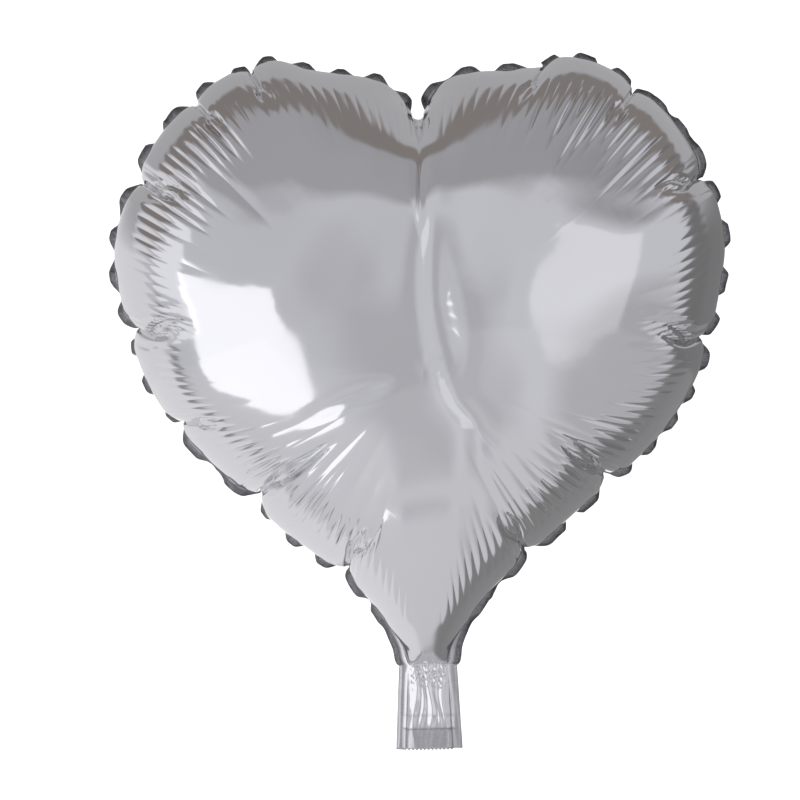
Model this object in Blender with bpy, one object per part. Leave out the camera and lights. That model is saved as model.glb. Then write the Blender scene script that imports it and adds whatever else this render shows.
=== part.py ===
"""Heart-shaped foil balloon, inflated, with its filling tail and self-sealing valve.

Metres, +Z up. The origin is the middle of the neck crease, where a ribbon is tied and
where the tail folds. The heart stands in the XZ plane, its front faces -Y, and the tail
hangs below the origin.

Every film is a thin solid of its real thickness. Films that are welded or printed
together on the real balloon keep WELD_GAP between them.
"""

import math

import bmesh
import bpy
from mathutils import Vector

# Films
FILM = 0.00004  # foil laminate of the two panels and the tail
VALVE_FILM = 0.00004  # clear polyethylene ply of the valve
COAT = 0.00002  # heat-resistant print that keeps the plies from welding together
WELD_GAP = 0.0003  # between two films that are welded face to face
SEAM_WIDTH = 0.005  # welded margin outside the inflated edge

# Inflated heart, measured on its seam line
HALF_WIDTH = 0.178
WIDEST_Z = 0.237
LOBE_TOP_X = 0.090
LOBE_TOP_Z = 0.354
NOTCH_Z = 0.322
SHOULDER_X = 0.029  # where the neck's curve meets the straight flank
SHOULDER_Z = 0.032
HALF_DEPTH = 0.100

# How far the handles of the outline's curves reach, as shares of the stretch they bend
NECK_HANDLE = 0.45
FLANK_LEAN = (0.27, 0.165)  # across and up
SHOULDER_HANDLE = 0.16  # of the flank's lean, backwards
UNDERSIDE_HANDLE = 0.48
SIDE_HANDLE = 0.55
LOBE_HANDLE = 0.32
CREST_HANDLE = 0.48
NOTCH_HANDLE = (0.28, 0.58)

# How the panels are blown up
CENTRE_Z = 0.205  # the rings of the panels shrink towards this height
MIDDLE_RADIUS = 0.150  # the rings turn from the heart's outline into circles on this scale
MIDDLE_EASE = 1.5
EDGE_FULLNESS = 2.5  # higher keeps the panel flat for longer before it turns over
EDGE_ROUNDNESS = 0.56  # 0.5 turns over as a circle does, 1 comes to a straight slope
TIP_ROUNDNESS = 1.0
TIP_SPREAD = math.radians(26)  # how far round from the tip that slope reaches
NOTCH_ROUNDNESS = 0.8
NOTCH_SPREAD = math.radians(16)

# Neck and tail
NECK_HALF = 0.012  # half the open width at the crease
NECK_CLEARANCE = 0.0009  # each side of the crease, so that the tail can fold
NECK_HALF_DEPTH = 0.00058
MOUTH_HALF = 0.0145
MOUTH_HALF_DEPTH = 0.0036
TAIL_LENGTH = 0.049
PUFF_LENGTH = 0.022  # from the crease to where the tail has its full depth
MOUTH_BAND = 0.020  # straight, flat-sided end of the tail

# Valve
VALVE_CLEARANCE = 0.0025  # from the side of the neck to the side of the plies
VALVE_HALF = NECK_HALF - VALVE_CLEARANCE
VALVE_START = 0.037  # below the crease, where the plies are welded to the tail
VALVE_TOP = 0.105  # above the crease, inside the heart
VALVE_END_CLEARANCE = 0.0004  # from the crease to the end of each ply
COAT_INSET = 0.0025  # from the side of the ply to the side of the print
COAT_HALF = VALVE_HALF - COAT_INSET
COAT_TOP = 0.020  # below the crease
COAT_BOTTOM = 0.034

# Mesh fineness
FLANK_STEPS = 13
SIDE_STEPS = 10
LOBE_STEPS = 7
SHOULDER_STEPS = 4
NECK_STEPS = 6
RINGS = 10
TAIL_ROWS = 12

FRONT, BACK = -1, 1


def material(name, colour, roughness, metallic, alpha=1.0):
    """A plain surface of one colour."""
    made = bpy.data.materials.new(name)
    made.use_nodes = True
    shader = made.node_tree.nodes["Principled BSDF"]
    shader.inputs["Base Color"].default_value = (*colour, 1.0)
    shader.inputs["Roughness"].default_value = roughness
    shader.inputs["Metallic"].default_value = metallic
    shader.inputs["Alpha"].default_value = alpha
    return made


def add_film(name, mesh, thickness, surface):
    """Turns a sheet, an open bmesh, into a closed film of that thickness."""
    bmesh.ops.recalc_face_normals(mesh, faces=mesh.faces)
    data = bpy.data.meshes.new(name)
    mesh.to_mesh(data)
    mesh.free()
    data.shade_smooth()
    film = bpy.data.objects.new(name, data)
    film.data.materials.append(surface)
    bpy.context.scene.collection.objects.link(film)
    wall = film.modifiers.new("wall", "SOLIDIFY")
    wall.thickness = thickness
    wall.offset = 0.0
    wall.use_even_offset = True
    return film


def bezier(start, first, second, end, steps):
    """Points along a cubic curve, without its last one."""
    points = []
    for step in range(steps):
        t = step / steps
        u = 1 - t
        points.append(u**3 * start + 3 * u * u * t * first + 3 * u * t * t * second + t**3 * end)
    return points


def half_outline():
    """The seam line of the right half, as (x, z), from the neck's corner to the notch."""
    neck = Vector((NECK_HALF, NECK_CLEARANCE))
    shoulder = Vector((SHOULDER_X, SHOULDER_Z))
    side = Vector((HALF_WIDTH, WIDEST_Z))
    lobe = Vector((LOBE_TOP_X, LOBE_TOP_Z))
    notch = Vector((0, NOTCH_Z))
    flank = side - shoulder
    lean = Vector((FLANK_LEAN[0] * flank.x, FLANK_LEAN[1] * flank.y))
    neck_end = neck + Vector((0, NECK_HANDLE * (SHOULDER_Z - NECK_CLEARANCE)))
    underside = side - Vector((0, UNDERSIDE_HANDLE * flank.y))
    above_side = side + Vector((0, SIDE_HANDLE * (LOBE_TOP_Z - WIDEST_Z)))
    outer_crest = lobe + Vector((LOBE_HANDLE * (HALF_WIDTH - LOBE_TOP_X), 0))
    inner_crest = lobe - Vector((CREST_HANDLE * LOBE_TOP_X, 0))
    dip = Vector((NOTCH_HANDLE[0] * LOBE_TOP_X, NOTCH_HANDLE[1] * (LOBE_TOP_Z - NOTCH_Z)))
    points = bezier(neck, neck_end, shoulder - SHOULDER_HANDLE * lean, shoulder, SHOULDER_STEPS)
    points += bezier(shoulder, shoulder + lean, underside, side, FLANK_STEPS)
    points += bezier(side, above_side, outer_crest, lobe, SIDE_STEPS)
    points += bezier(lobe, inner_crest, notch + dip, notch, LOBE_STEPS)
    return points + [notch]


def seam_line():
    """The whole seam line from the right corner of the neck over both lobes to the left one."""
    right = half_outline()
    left = [Vector((-p.x, p.y)) for p in reversed(right[:-1])]
    return right + left


def outward(points):
    """The direction that points away from the heart at each point of the seam line."""
    directions = []
    for k, _ in enumerate(points):
        along = points[min(k + 1, len(points) - 1)] - points[max(k - 1, 0)]
        directions.append(Vector((along.y, -along.x)).normalized())
    directions[0] = Vector((1, 0))
    directions[-1] = Vector((-1, 0))
    return directions


def film_offset(thickness):
    """From the plane between two welded films to the middle of one of them."""
    return WELD_GAP / 2 + thickness / 2


def lens(x, half_width, half_depth):
    """How far a film stands from the middle plane at x: flat in the middle, welded at the sides."""
    edge = film_offset(FILM)
    share = min(1.0, abs(x) / half_width)
    return edge + (half_depth - edge) * (1 - share**8)


def roundness(point):
    """How the panel turns over towards that point of the outline."""
    direction = math.atan2(point.x, CENTRE_Z - point.y)
    from_tip = abs(direction) / TIP_SPREAD
    from_notch = (math.pi - abs(direction)) / NOTCH_SPREAD
    tip = (TIP_ROUNDNESS - EDGE_ROUNDNESS) * math.exp(-(from_tip**2))
    notch = (NOTCH_ROUNDNESS - EDGE_ROUNDNESS) * math.exp(-(from_notch**2))
    return EDGE_ROUNDNESS + tip + notch


def heart_panel(name, side, surface):
    """One half of the heart: a blown dish with a flat margin round it, open at the neck."""
    seam = seam_line()
    steps = [-NECK_HALF + 2 * NECK_HALF * k / NECK_STEPS for k in range(1, NECK_STEPS)]
    neck = [Vector((x, NECK_CLEARANCE)) for x in steps]
    rim = seam + neck
    edge = film_offset(FILM)
    rim_depth = [edge] * len(seam) + [lens(p.x, NECK_HALF, NECK_HALF_DEPTH) for p in neck]
    centre = Vector((0, CENTRE_Z))
    mesh = bmesh.new()
    pole = mesh.verts.new((0, side * (edge + HALF_DEPTH), CENTRE_Z))
    rings = []
    for k in range(1, RINGS + 1):
        share = math.sin(math.pi / 2 * k / RINGS) if k < RINGS else 1.0
        ring = []
        for point, depth in zip(rim, rim_depth):
            reach = point - centre
            rounded = reach.lerp(MIDDLE_RADIUS * reach.normalized(), (1 - share) ** MIDDLE_EASE)
            place = centre + share * rounded
            blown = HALF_DEPTH * (1 - share**EDGE_FULLNESS) ** roundness(point)
            ring.append(mesh.verts.new((place.x, side * (depth + blown), place.y)))
        rings.append(ring)
    count = len(rim)
    for k in range(count):
        after = (k + 1) % count
        mesh.faces.new((pole, rings[0][k], rings[0][after]))
        for inner, outer in zip(rings, rings[1:]):
            mesh.faces.new((inner[k], outer[k], outer[after], inner[after]))
    margin = []
    for point, direction in zip(seam, outward(seam)):
        place = point + SEAM_WIDTH * direction
        margin.append(mesh.verts.new((place.x, side * edge, place.y)))
    for k in range(len(seam) - 1):
        mesh.faces.new((rings[-1][k], margin[k], margin[k + 1], rings[-1][k + 1]))
    return add_film(name, mesh, FILM, surface)


def tail_half_width(drop):
    """Half the open width of the tail at that distance below the crease."""
    share = min(1.0, drop / TAIL_LENGTH)
    return NECK_HALF + (MOUTH_HALF - NECK_HALF) * share


def tail_half_depth(drop):
    """From the middle plane to the film: pinched at the crease, full from PUFF_LENGTH on."""
    share = min(1.0, drop / PUFF_LENGTH)
    eased = share * share * (3 - 2 * share)
    return NECK_HALF_DEPTH + (MOUTH_HALF_DEPTH - NECK_HALF_DEPTH) * eased


def tail_drops(top, bottom):
    """Distances below the crease for a film's rows: its ends and the rows all films share."""
    shared = [TAIL_LENGTH * k / TAIL_ROWS for k in range(1, TAIL_ROWS)]
    shared += [PUFF_LENGTH, TAIL_LENGTH - MOUTH_BAND]
    inside = {round(drop, 6) for drop in shared if top < drop < bottom}
    return sorted(inside | {top, bottom})


def strip(side, drops, half_width, half_depth, shares):
    """A sheet of rows below the crease. Each share is a place across it, from -1 to 1."""
    mesh = bmesh.new()
    rows = []
    for drop in drops:
        row = []
        for share in shares:
            x = share * half_width(drop)
            row.append(mesh.verts.new((x, side * half_depth(x, drop), -drop)))
        rows.append(row)
    for upper, lower in zip(rows, rows[1:]):
        for k in range(len(shares) - 1):
            mesh.faces.new((upper[k], upper[k + 1], lower[k + 1], lower[k]))
    return mesh


def section_shares():
    """Places across the open width: a flat middle between rounded sides."""
    sides = (1.0, 0.95, 0.86, 0.74, 0.55)
    return [-s for s in sides] + [s for s in reversed(sides)]


def tail_film(name, side, surface):
    """One side of the filling tail, with its welded margins."""
    margins = (1 + SEAM_WIDTH / MOUTH_HALF,)
    shares = [-m for m in margins] + section_shares() + list(margins)

    def depth(x, drop):
        return lens(x, tail_half_width(drop), tail_half_depth(drop))

    sheet = strip(side, tail_drops(NECK_CLEARANCE, TAIL_LENGTH), tail_half_width, depth, shares)
    return add_film(name, sheet, FILM, surface)


def inside_tail(thickness, layers):
    """How far the middle of a layer inside the tail's film stands from the middle plane."""
    inset = FILM / 2 + WELD_GAP + thickness / 2 + layers

    def depth(x, drop):
        # Measured at the valve's edge, where the tail's film has begun to turn over.
        return lens(VALVE_HALF, tail_half_width(drop), tail_half_depth(drop)) - inset

    return depth


def valve_half_width(drop):
    """The valve is a straight strip."""
    return VALVE_HALF


def valve_inlet(name, side, surface):
    """The part of a valve ply that lies in the tail, from its weld to the crease."""
    shares = [k / 4 for k in range(-4, 5)]
    drops = tail_drops(VALVE_END_CLEARANCE, VALVE_START)
    sheet = strip(side, drops, valve_half_width, inside_tail(VALVE_FILM, 0), shares)
    return add_film(name, sheet, VALVE_FILM, surface)


def release_coat(name, surface):
    """The printed patch on the inner face of the front ply."""
    shares = (-1, -0.5, 0, 0.5, 1)
    drops = tail_drops(COAT_TOP, COAT_BOTTOM)
    depth = inside_tail(COAT, VALVE_FILM + WELD_GAP)
    sheet = strip(FRONT, drops, lambda drop: COAT_HALF, depth, shares)
    return add_film(name, sheet, COAT, surface)


def valve_flap(name, side, surface):
    """The free part of a valve ply, which gas pressure holds against the other one."""
    pivot = bpy.data.objects.new(name + "_pivot", None)
    pivot.location = (0, side * film_offset(VALVE_FILM), VALVE_END_CLEARANCE)
    bpy.context.scene.collection.objects.link(pivot)
    mesh = bmesh.new()
    rows, columns = 6, 4
    length = VALVE_TOP - VALVE_END_CLEARANCE
    grid = []
    for row in range(rows + 1):
        z = length * row / rows
        across = [VALVE_HALF * (2 * k / columns - 1) for k in range(columns + 1)]
        grid.append([mesh.verts.new((x, 0, z)) for x in across])
    for lower, upper in zip(grid, grid[1:]):
        for k in range(columns):
            mesh.faces.new((lower[k], lower[k + 1], upper[k + 1], upper[k]))
    flap = add_film(name, mesh, VALVE_FILM, surface)
    flap.parent = pivot
    return flap


def main():
    for old in list(bpy.data.objects):
        bpy.data.objects.remove(old, do_unlink=True)
    foil = material("silver_foil", (0.72, 0.72, 0.75), 0.12, 1.0)
    clear = material("valve_film", (0.85, 0.88, 0.90), 0.25, 0.0, 0.5)
    ink = material("release_ink", (0.16, 0.32, 0.55), 0.6, 0.0)
    heart_panel("body_front_panel", FRONT, foil)
    heart_panel("body_back_panel", BACK, foil)
    tail_film("tail_front_film", FRONT, foil)
    tail_film("tail_back_film", BACK, foil)
    valve_inlet("valve_inlet_front", FRONT, clear)
    valve_inlet("valve_inlet_back", BACK, clear)
    release_coat("valve_release_coat", ink)
    valve_flap("valve_flap_front", FRONT, clear)
    valve_flap("valve_flap_back", BACK, clear)


main()
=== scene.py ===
"""A heart-shaped foil balloon, blown up and pleated along its seam, in a pale studio.

The film is cut flat, blown up by a small simulation of a sheet that can't stretch, and then
given the pleats, pinched creases, soft folds and welded margin of a real balloon. The tail
hangs from the neck crease.
"""

import math

import bmesh
import bpy
import numpy as np
from bpy.props import FloatProperty, FloatVectorProperty, IntProperty, PointerProperty
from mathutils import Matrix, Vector


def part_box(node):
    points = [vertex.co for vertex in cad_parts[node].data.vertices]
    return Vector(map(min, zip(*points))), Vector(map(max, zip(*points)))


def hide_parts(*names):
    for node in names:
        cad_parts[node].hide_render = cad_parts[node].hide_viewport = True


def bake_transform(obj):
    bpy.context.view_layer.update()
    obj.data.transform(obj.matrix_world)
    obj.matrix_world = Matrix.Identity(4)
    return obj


bl_info = {
    "name": "Heart Foil Balloon",
    "version": (1, 0, 0),
    "blender": (4, 5, 0),
    "location": "View3D > Sidebar > Balloon",
    "description": "Builds a heart-shaped foil balloon with its tail, valve and studio",
    "category": "Object",
}

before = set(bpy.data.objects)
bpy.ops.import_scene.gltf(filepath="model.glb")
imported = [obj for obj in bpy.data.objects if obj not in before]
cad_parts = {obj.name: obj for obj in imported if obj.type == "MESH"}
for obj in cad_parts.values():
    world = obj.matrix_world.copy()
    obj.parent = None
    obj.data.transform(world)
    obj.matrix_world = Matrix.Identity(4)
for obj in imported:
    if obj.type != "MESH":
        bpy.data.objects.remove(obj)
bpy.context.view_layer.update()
PANEL_LOW, PANEL_HIGH = (np.array(corner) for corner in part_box("body_front_panel"))
TAIL_LOW, TAIL_HIGH = (np.array(corner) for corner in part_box("tail_front_film"))

FRONT, BACK = -1, 1
HEART_WIDTH = float(PANEL_HIGH[0] - PANEL_LOW[0])
NECK_TOP = float(PANEL_LOW[2])
MOUTH_BOTTOM = float(TAIL_LOW[2])
# The blown heart's seam lies a little inside the frame's panels, which have a margin.
SEAM_HALF_WIDTH = HEART_WIDTH / 2 - 0.00315
SEAM_HEIGHT = float(PANEL_HIGH[2]) - 0.0018 - NECK_TOP


# ---------------- settings


def size_setting(name, default, description):
    """A setting in metres."""
    return FloatProperty(name=name, description=description, default=default, unit="LENGTH")


def colour_setting(name, default, description):
    """A setting for an opaque colour."""
    return FloatVectorProperty(
        name=name, description=description, subtype="COLOR", size=4, default=(*default, 1.0), min=0.0, max=1.0
    )


class BalloonSettings(bpy.types.PropertyGroup):
    """Sizes and colours of the balloon."""

    pattern_width: size_setting(
        "Flat width", 1.2295 * HEART_WIDTH, "Width of the heart that is cut from flat film, between its seams"
    )
    seam_width: size_setting("Seam width", 0.0066, "Width of the welded margin outside the blown edge")
    crease_depth: size_setting("Crease depth", 0.0054, "How far the rim is pinched in at its main creases")
    pleat_spacing: size_setting("Pleat spacing", 0.0062, "From one fine pleat to the next along the rim")
    pleat_depth: size_setting("Pleat depth", 0.0024, "Depth of the fine pleats where they are strongest")
    random_seed: IntProperty(
        name="Seed", description="Changes the lengths and places of the small pleats", default=7
    )
    foil_colour: colour_setting("Foil", (0.80, 0.80, 0.835), "Colour of the metallised film")
    weld_colour: colour_setting("Weld", (0.045, 0.045, 0.05), "Colour of the welded and knurled film")
    ink_colour: colour_setting("Release ink", (0.16, 0.32, 0.55), "Colour of the print inside the valve")
    backdrop_colour: colour_setting("Backdrop", (0.88, 0.88, 0.88), "Colour of the sweep behind the balloon")


# ---------------- node helpers


MIX_SOCKETS = {"FLOAT": (2, 0), "RGBA": (6, 2)}  # its first input and its output for each kind


class NodeTree:
    """The nodes of a material or a world, with the few kinds of node that are used here."""

    def __init__(self, owner):
        owner.use_nodes = True
        self.nodes, self.links = owner.node_tree.nodes, owner.node_tree.links

    def feed(self, socket, value):
        """Links a socket to another one, or sets it to a fixed value."""
        if isinstance(value, bpy.types.NodeSocket):
            self.links.new(value, socket)
        else:
            socket.default_value = value

    def node(self, kind, **values):
        """A new node, with its inputs fed by name. Underscores stand for spaces."""
        made = self.nodes.new("ShaderNode" + kind)
        for name, value in values.items():
            self.feed(made.inputs[name.replace("_", " ")], value)
        return made

    def place(self):
        """Where the shaded point is on its object."""
        return self.node("TexCoord").outputs["Object"]

    def axes(self, vector):
        """The three parts of a vector, by name."""
        return self.node("SeparateXYZ", Vector=vector).outputs

    def noise(self, source, scale, detail=3.0, roughness=0.5):
        """A noise texture that reads the given coordinates."""
        made = self.node("TexNoise", Vector=source, Scale=scale, Detail=detail, Roughness=roughness)
        return made.outputs["Fac"]

    def remap(self, source, low, high, out_low=0.0, out_high=1.0):
        """Stretches a value from one range to another."""
        made = self.node("MapRange", Value=source, From_Min=low, From_Max=high)
        made.inputs["To Min"].default_value, made.inputs["To Max"].default_value = out_low, out_high
        return made.outputs["Result"]

    def math(self, operation, first, *others):
        """Arithmetic between sockets or numbers, one step for each further value."""
        for other in others or (None,):
            made = self.node("Math")
            made.operation = operation
            self.feed(made.inputs[0], first)
            if other is not None:
                self.feed(made.inputs[1], other)
            first = made.outputs[0]
        return first

    def mix(self, factor, first, second, kind="RGBA"):
        """Mixes two colours, or two values if the kind is FLOAT, by a factor."""
        made = self.node("Mix")
        made.data_type = kind
        start, out = MIX_SOCKETS[kind]
        self.feed(made.inputs[0], factor)
        self.feed(made.inputs[start], first)
        self.feed(made.inputs[start + 1], second)
        return made.outputs[out]

    def bump(self, height, distance, strength=1.0, below=None):
        """Adds relief of that height, on top of another bump if one is given."""
        made = self.node("Bump", Distance=distance, Strength=strength, Height=height)
        if below is not None:
            self.feed(made.inputs["Normal"], below)
        return made.outputs["Normal"]


def new_material(name):
    """A material with its node tree and a function that feeds its shader."""
    made = bpy.data.materials.new(name)
    tree = NodeTree(made)
    shader = tree.nodes["Principled BSDF"]

    def shade(**values):
        for socket, value in values.items():
            tree.feed(shader.inputs[socket.replace("_", " ")], value)

    return made, tree, shade


# ---------------- materials

KNURL_PITCH = 0.0016
EVEN_NOISE = (0.3, 0.7)  # where nearly all of a noise texture's values lie


def foil_material(settings):
    """Metallised film: mirror bright, slightly hazy, and dark and knurled where it is welded."""
    made, tree, shade = new_material("silver_foil")
    place = tree.place()
    weld = tree.node("Attribute")
    weld.attribute_name = "weld"
    weld = weld.outputs["Fac"]
    uv = tree.node("UVMap")
    uv.uv_map = "seam"
    around = tree.axes(uv.outputs["UV"])

    # Knurled jaws leave a crosshatch of small diamonds in the weld.
    slopes = []
    for sign in (1, -1):
        along = tree.math("ADD", around["X"], tree.math("MULTIPLY", around["Y"], sign))
        slopes.append(tree.math("SINE", tree.math("MULTIPLY", along, 2 * math.pi / KNURL_PITCH)))
    knurl = tree.remap(tree.math("MULTIPLY", *slopes), -1, 1)

    haze = tree.noise(place, 22, 4, 0.6)
    flow = tree.noise(place, 9, 2, 0.5)
    scuff = tree.noise(place, 420, 5, 0.7)
    foil = tree.mix(flow, settings.foil_colour, (0.74, 0.735, 0.755, 1))
    blotch = tree.math("MULTIPLY", knurl, tree.remap(scuff, *EVEN_NOISE, 0.5, 1.5))
    welded = tree.mix(blotch, settings.weld_colour, (0.40, 0.40, 0.42, 1))
    gloss = tree.remap(haze, *EVEN_NOISE, 0.07, 0.15)
    rough = tree.remap(scuff, *EVEN_NOISE, 0.3, 0.5)

    normal = tree.bump(tree.noise(place, 60, 2, 0.4), 0.00012, 0.6)
    normal = tree.bump(tree.noise(place, 900, 3, 0.6), 0.000006, 0.5, normal)
    normal = tree.bump(tree.math("MULTIPLY", knurl, weld), 0.00008, 1.0, normal)
    shade(
        Base_Color=tree.mix(weld, foil, welded),
        Metallic=1.0,
        Roughness=tree.mix(weld, gloss, rough, "FLOAT"),
        Normal=normal,
    )
    return made


def valve_film_material():
    """Clear polyethylene, a little milky and faintly wrinkled."""
    made, tree, shade = new_material("valve_film")
    place = tree.place()
    cloud = tree.noise(place, 160, 4, 0.6)
    shade(
        Base_Color=tree.mix(cloud, (0.80, 0.84, 0.87, 1), (0.93, 0.95, 0.96, 1)),
        Transmission_Weight=0.7,
        IOR=1.5,
        Roughness=tree.remap(cloud, *EVEN_NOISE, 0.18, 0.34),
        Normal=tree.bump(tree.noise(place, 240, 3, 0.5), 0.0001, 0.6),
    )
    return made


def ink_material(settings):
    """Matt print with a slightly uneven, grainy cover."""
    made, tree, shade = new_material("release_ink")
    grain = tree.noise(tree.place(), 1500, 4, 0.7)
    thin = [min(1.0, 1.5 * c) for c in settings.ink_colour[:3]] + [1]
    shade(
        Base_Color=tree.mix(grain, settings.ink_colour, thin),
        Roughness=tree.remap(grain, *EVEN_NOISE, 0.5, 0.75),
        Normal=tree.bump(grain, 0.00002, 0.5),
    )
    return made


# ---------------- flat pattern

# Flat cut of the right half, as shares of the flat width: corners and the handles of the
# curves between them, from the neck round the side and the lobe to the notch.
NECK_CORNER = (0.0333, -0.0133)
SIDE = (0.4996, 0.6076)
LOBE = (0.2133, 0.9558)
NOTCH = (0.0, 0.9290)
NECK_LEAN = (0.1302, 0.1318)
SIDE_BELOW = 0.3689
SIDE_ABOVE = 0.1818
LOBE_OUTER = 0.1189
LOBE_INNER = 0.0862
NOTCH_RISE = (0.0531, 0.0422)
CENTRE_HEIGHT = 0.4556  # the rings of the mesh shrink towards this height

SEAM_COLUMNS = 124  # of the simulated film, round the seam from one neck corner to the other
NECK_COLUMNS = 4
SIMULATED_RINGS = 18
RING_POWER = 1.35  # above 1, rings lie closer together towards the seam
REFINE = 14  # finished columns to one simulated column
SEAM_POINTS = REFINE * SEAM_COLUMNS + 1  # finished columns round the seam, without the neck


def bezier(start, first, second, end, steps=80):
    """Points along a cubic curve."""
    t = np.linspace(0, 1, steps)[:, None]
    start, first, second, end = (np.array(p, float) for p in (start, first, second, end))
    return (1 - t) ** 3 * start + 3 * (1 - t) ** 2 * t * first + 3 * (1 - t) * t**2 * second + t**3 * end


def flat_half():
    """The right half of the cut, from the neck's corner to the notch."""
    neck, side, lobe, notch = (np.array(p) for p in (NECK_CORNER, SIDE, LOBE, NOTCH))
    lower = bezier(neck, neck + NECK_LEAN, side - (0, SIDE_BELOW), side)
    upper = bezier(side, side + (0, SIDE_ABOVE), lobe + (LOBE_OUTER, 0), lobe)
    inner = bezier(lobe, lobe - (LOBE_INNER, 0), notch + NOTCH_RISE, notch)
    return np.vstack([lower, upper[1:], inner[1:]])


def spread(points, count):
    """The same line with that many equal steps."""
    lengths = np.r_[0, np.cumsum(np.linalg.norm(np.diff(points, axis=0), axis=1))]
    places = np.linspace(0, lengths[-1], count + 1)
    return np.stack([np.interp(places, lengths, points[:, axis]) for axis in range(2)], 1)


def flat_outline(width):
    """The cut's outline at every simulated column: up the right side, down the left, along the neck."""
    right = spread(flat_half(), SEAM_COLUMNS // 2) * width
    left = (right * (-1, 1))[::-1]
    neck = np.linspace(left[-1], right[0], NECK_COLUMNS + 1)
    return np.vstack([right, left[1:], neck[1:-1]])


# ---------------- blowing up


def ring_shares():
    """The simulated rings, from 0 at the centre to 1 at the seam."""
    return 1 - (1 - np.linspace(0, 1, SIMULATED_RINGS)) ** RING_POWER


def lengths(a, b):
    """Distances between two arrays of points."""
    return np.sqrt(np.einsum("...k,...k", a - b, a - b))


START_DEPTH = 0.045  # of each side before it is blown up, as a share of the flat width
KEPT_SPEED = 0.99
TOP_SPEED = 0.002  # in metres a step
FULL_PRESSURE = 0.00004
LEAST_PRESSURE = 0.05  # as a share of the full pressure
FULL_STEPS, QUICK_STEPS = 2200, 500


class BlownFilm:
    """Two films, welded at the seam, as one grid of rows from the front's centre to the back's.

    An edge that is too long pulls its ends together and one that is too short does nothing,
    which is how a thin film behaves: it can't stretch, and it folds instead of being pressed.
    """

    def __init__(self, width):
        outline = flat_outline(width)
        self.count = len(outline)
        centre = np.array((0, CENTRE_HEIGHT * width))
        shares = ring_shares()
        half = centre + (outline[None] - centre) * shares[:, None, None]
        flat = np.concatenate([half, half[-2::-1]], 0)
        after = np.roll(flat, -1, 1)
        self.hoop = lengths(flat, after)
        self.row = lengths(flat[1:], flat[:-1])
        self.rising = lengths(flat[1:], after[:-1])
        self.falling = lengths(after[1:], flat[:-1])
        depth = np.sqrt(1 - shares**2) * START_DEPTH * width
        depth = np.r_[-depth, depth[-2::-1]]
        self.points = np.zeros(flat.shape[:2] + (3,))
        self.points[..., 0] = flat[..., 0]
        self.points[..., 1] = depth[:, None]
        self.points[..., 2] = flat[..., 1]
        self.speed = np.zeros_like(self.points)
        self.cell = float(np.median(np.linalg.norm(self.area_vectors(), axis=2)))
        self.outwards = np.sign(self.area_vectors()[SIMULATED_RINGS // 3, :, 1].mean() * -1)

    def area_vectors(self):
        """At each point, the normal of its cell, as long as the cell is large."""
        p = self.points
        along = (np.roll(p, -1, 1) - np.roll(p, 1, 1)) / 2
        return np.cross(along, np.gradient(p, axis=0))

    @staticmethod
    def pull(a, b, rest, share=0.5):
        """Draws two arrays of points together where they are further apart than rest."""
        gap = a - b
        length = np.sqrt(np.einsum("...k,...k", gap, gap)) + 1e-12
        move = gap * (share * np.maximum(length - rest, 0) / length)[..., None]
        a -= move
        b += move

    def hold_lengths(self):
        """One pass over all edges, in groups that share no point."""
        p = self.points
        self.pull(p[:, 0::2], p[:, 1::2], self.hoop[:, 0::2])
        turned = np.roll(p, -1, 1)
        self.pull(turned[:, 0::2], turned[:, 1::2], self.hoop[:, 1::2])
        p[:] = np.roll(turned, 1, 1)
        for start in (0, 1):
            upper, lower = p[start:-1:2], p[start + 1 :: 2]
            count = min(len(upper), len(lower))
            upper, lower = upper[:count], lower[:count]
            self.pull(upper, lower, self.row[start::2][:count])
            after = np.roll(upper, -1, 1)
            self.pull(lower, after, self.rising[start::2][:count], 0.25)
            upper[:] = np.roll(after, 1, 1)
            after = np.roll(lower, -1, 1)
            self.pull(after, upper, self.falling[start::2][:count], 0.25)
            lower[:] = np.roll(after, 1, 1)
        p[0] = p[0].mean(0)
        p[-1] = p[-1].mean(0)

    def step(self, pressure):
        """Lets the gas push for one step, with a little of the speed lost."""
        before = self.points.copy()
        self.points += KEPT_SPEED * self.speed + pressure * self.outwards / self.cell * self.area_vectors()
        self.hold_lengths()
        self.hold_lengths()
        self.speed = self.points - before
        pace = np.linalg.norm(self.speed, axis=2, keepdims=True)
        self.speed *= np.minimum(1, TOP_SPEED / (pace + 1e-12))

    def blow_up(self, steps):
        """Full pressure first, to open the heart out, then less and less, to let the film settle."""
        for step in range(steps):
            self.step(FULL_PRESSURE * max(LEAST_PRESSURE, 1 - step / (0.65 * steps)))
        return self.points


def smooth_centre(points, shares):
    """Evens out the middle of one side, where all columns crowd together, with a fitted surface."""
    x, y, z = (points[..., axis] for axis in range(3))
    fit = (shares < 0.5)[:, None] & np.ones(points.shape[1], bool)
    middle = z[0, 0]

    def terms(x, z):
        u, v = x / 0.1, (z - middle) / 0.1
        return np.stack([u**i * v**j for i in range(0, 5) for j in range(0, 5 - i)], -1)

    solved = np.linalg.lstsq(terms(x[fit], z[fit]), y[fit], rcond=None)[0]
    keep = smoothstep(shares, 0.15, 0.40)[:, None]
    points[..., 1] = keep * y + (1 - keep) * (terms(x, z) @ solved)


# ---------------- fine grid


def catmull(values, places, wrap):
    """A smooth curve through values along the first axis, read at fractional places."""
    count = len(values)
    low = np.floor(places).astype(int)
    t = (places - low).reshape((-1,) + (1,) * (values.ndim - 1))

    def at(offset):
        index = low + offset
        return values[index % count if wrap else np.clip(index, 0, count - 1)]

    a, b, c, d = at(-1), at(0), at(1), at(2)
    return 0.5 * (2 * b + (c - a) * t + (2 * a - 5 * b + 4 * c - d) * t**2 + (3 * b - a - 3 * c + d) * t**3)


FIRST_STEP = 0.0011  # from the seam to the first row
STEP_GROWTH = 1.05
LARGEST_STEP = 0.0055
TYPICAL_RADIUS = 0.215  # of the flat heart, from its centre to the seam


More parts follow.
